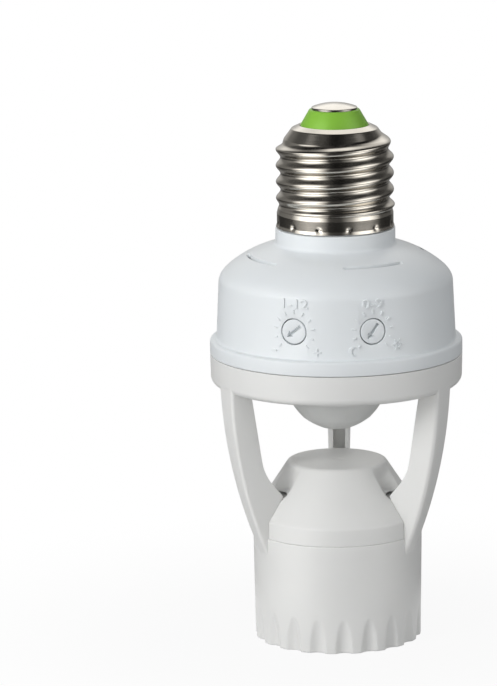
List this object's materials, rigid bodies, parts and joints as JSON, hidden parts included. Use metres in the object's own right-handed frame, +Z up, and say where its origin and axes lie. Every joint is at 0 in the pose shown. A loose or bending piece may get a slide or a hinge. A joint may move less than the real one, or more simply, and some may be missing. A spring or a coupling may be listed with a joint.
{
  "type": "motion sensor lamp holder",
  "caption": "Screw-in lamp holder with a motion sensor: a domed housing with trim dials on an E27 cap, open arms round a dome lens, and a lamp socket below.",
  "frame": {"origin": "centre of the lamp socket's mouth, on the plane of its rim", "axes": "+Z up along the axis towards the screw cap's contact; the trim dials face -Y; one arm stands at +Y"},
  "size_m": [0.056, 0.056, 0.1202],
  "materials": {
    "nickel_plate": "bright nickel plate on rolled sheet",
    "green_plastic": "moulded, satin",
    "cool_white_plastic": "moulded, semi-gloss cool white",
    "warm_white_plastic": "moulded, semi-gloss warm white",
    "milky_lens_plastic": "milky faceted lens, satin",
    "socket_ceramic": "unglazed",
    "brass": "stamped sheet",
    "zinc_plated_steel": "zinc plate",
    "circuit_board": "solder mask",
    "photocell_ceramic": "lacquered",
    "blue_plastic": "moulded",
    "yellow_plastic": "moulded",
    "black_plastic": "moulded",
    "red_insulation": "extruded wire insulation"
  },
  "bodies": {
    "holder": {"centre_contact": "nickel_plate", "cap_insulator": "green_plastic", "cap_shell": "nickel_plate", "upper_housing": "cool_white_plastic", "lower_frame": "warm_white_plastic", "socket_cap": "warm_white_plastic", "left_wire_cover": "warm_white_plastic", "right_wire_cover": "warm_white_plastic", "sensor_plate": "warm_white_plastic", "lens_dome": "milky_lens_plastic", "socket_insulator": "socket_ceramic", "socket_shell": "brass", "centre_leaf": "brass", "left_terminal": "brass", "right_terminal": "brass", "left_terminal_screw": "zinc_plated_steel", "right_terminal_screw": "zinc_plated_steel", "case_screw_1": "zinc_plated_steel", "case_screw_2": "zinc_plated_steel", "case_screw_3": "zinc_plated_steel", "circuit_board": "circuit_board", "pir_sensor": "zinc_plated_steel", "photocell": "photocell_ceramic", "time_trimmer": "blue_plastic", "lux_trimmer": "blue_plastic", "relay": "black_plastic", "film_capacitor": "yellow_plastic", "electrolytic_capacitor": "black_plastic", "switching_chip": "black_plastic", "centre_lead": "red_insulation", "shell_lead": "black_plastic", "socket_left_lead": "red_insulation", "socket_right_lead": "black_plastic"},
    "time_knob": {"time_dial": "cool_white_plastic"},
    "lux_knob": {"lux_dial": "cool_white_plastic"}
  },
  "joints": [
    {"name": "time_adjust", "type": "hinge", "parent": "holder", "child": "time_knob", "pos_m": [-0.00854, -0.02466, 0.074], "axis": [0.3272, 0.9449, 0], "range_deg": [-15, 273]},
    {"name": "lux_adjust", "type": "hinge", "parent": "holder", "child": "lux_knob", "pos_m": [0.00854, -0.02466, 0.074], "axis": [-0.3272, 0.9449, 0], "range_deg": [0, 288]}
  ]
}
